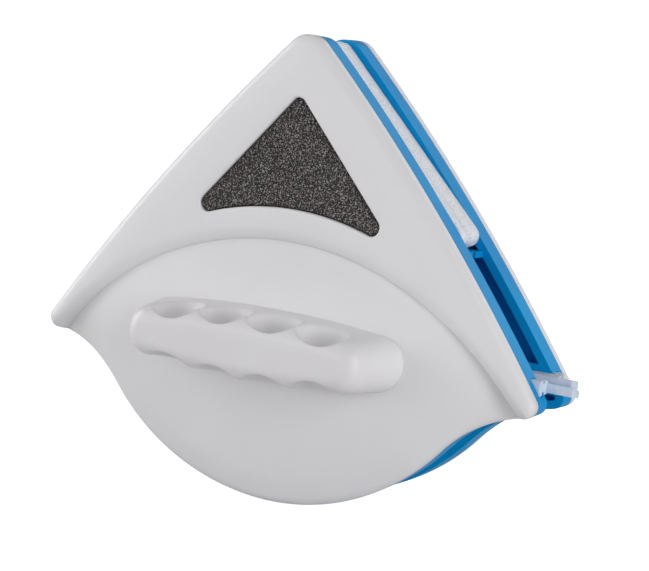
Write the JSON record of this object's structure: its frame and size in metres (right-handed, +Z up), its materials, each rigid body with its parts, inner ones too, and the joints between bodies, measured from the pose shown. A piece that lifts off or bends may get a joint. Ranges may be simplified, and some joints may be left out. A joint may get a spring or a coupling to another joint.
{
  "type": "magnetic glass cleaner",
  "caption": "Two-part glass cleaner: magnets hold two handled halves with pads and squeegees against both faces of a pane.",
  "frame": {"origin": "centre of the plane between the two halves, level with the squeegee corners and under the apex", "axes": "+X along the squeegees, +Y across the pane from the inner half to the outer half, +Z up to the rounded apex"},
  "size_m": [0.1892, 0.089, 0.1538],
  "materials": {
    "white_abs": "satin moulded",
    "handle_abs": "satin moulded",
    "blue_abs": "gloss moulded",
    "black_abs": "matte",
    "dark_sponge": "open-cell foam",
    "pad_foam": "closed-cell foam",
    "pad_cloth": "short pile",
    "white_rubber": "translucent",
    "magnet_nickel": "nickel plated",
    "yoke_steel": "zinc plated",
    "screw_steel": "zinc plated"
  },
  "bodies": {
    "inner_half": {"inner_cover_shell": "white_abs", "inner_window_sponge": "dark_sponge", "inner_sponge_tray": "black_abs", "inner_handle_grip": "handle_abs", "inner_handle_screws": "screw_steel", "inner_base_plate": "blue_abs", "inner_case_screws": "screw_steel", "inner_magnet_left": "magnet_nickel", "inner_magnet_right": "magnet_nickel", "inner_magnet_yoke": "yoke_steel", "inner_yoke_screws": "screw_steel", "inner_upper_pad_core": "pad_foam", "inner_upper_pad_cloth": "pad_cloth", "inner_lower_pad_core": "pad_foam", "inner_lower_pad_cloth": "pad_cloth"},
    "inner_blade": {"inner_squeegee_blade": "white_rubber"},
    "outer_half": {"outer_cover_shell": "white_abs", "outer_window_sponge": "dark_sponge", "outer_sponge_tray": "black_abs", "outer_handle_grip": "handle_abs", "outer_handle_screws": "screw_steel", "outer_base_plate": "blue_abs", "outer_case_screws": "screw_steel", "outer_magnet_left": "magnet_nickel", "outer_magnet_right": "magnet_nickel", "outer_magnet_yoke": "yoke_steel", "outer_yoke_screws": "screw_steel", "outer_upper_pad_core": "pad_foam", "outer_upper_pad_cloth": "pad_cloth", "outer_lower_pad_core": "pad_foam", "outer_lower_pad_cloth": "pad_cloth"},
    "outer_blade": {"outer_squeegee_blade": "white_rubber"}
  },
  "joints": [
    {"name": "outer_half_lift", "type": "slide", "parent": "inner_half", "child": "outer_half", "axis": [0, 1, 0], "range_m": [0, 0.06], "stiffness_N_per_m": 120, "springref_m": -0.05},
    {"name": "inner_blade_slide", "type": "slide", "parent": "inner_half", "child": "inner_blade", "axis": [1, 0, 0], "range_m": [0, 0.175]},
    {"name": "outer_blade_slide", "type": "slide", "parent": "outer_half", "child": "outer_blade", "axis": [1, 0, 0], "range_m": [0, 0.175]}
  ]
}
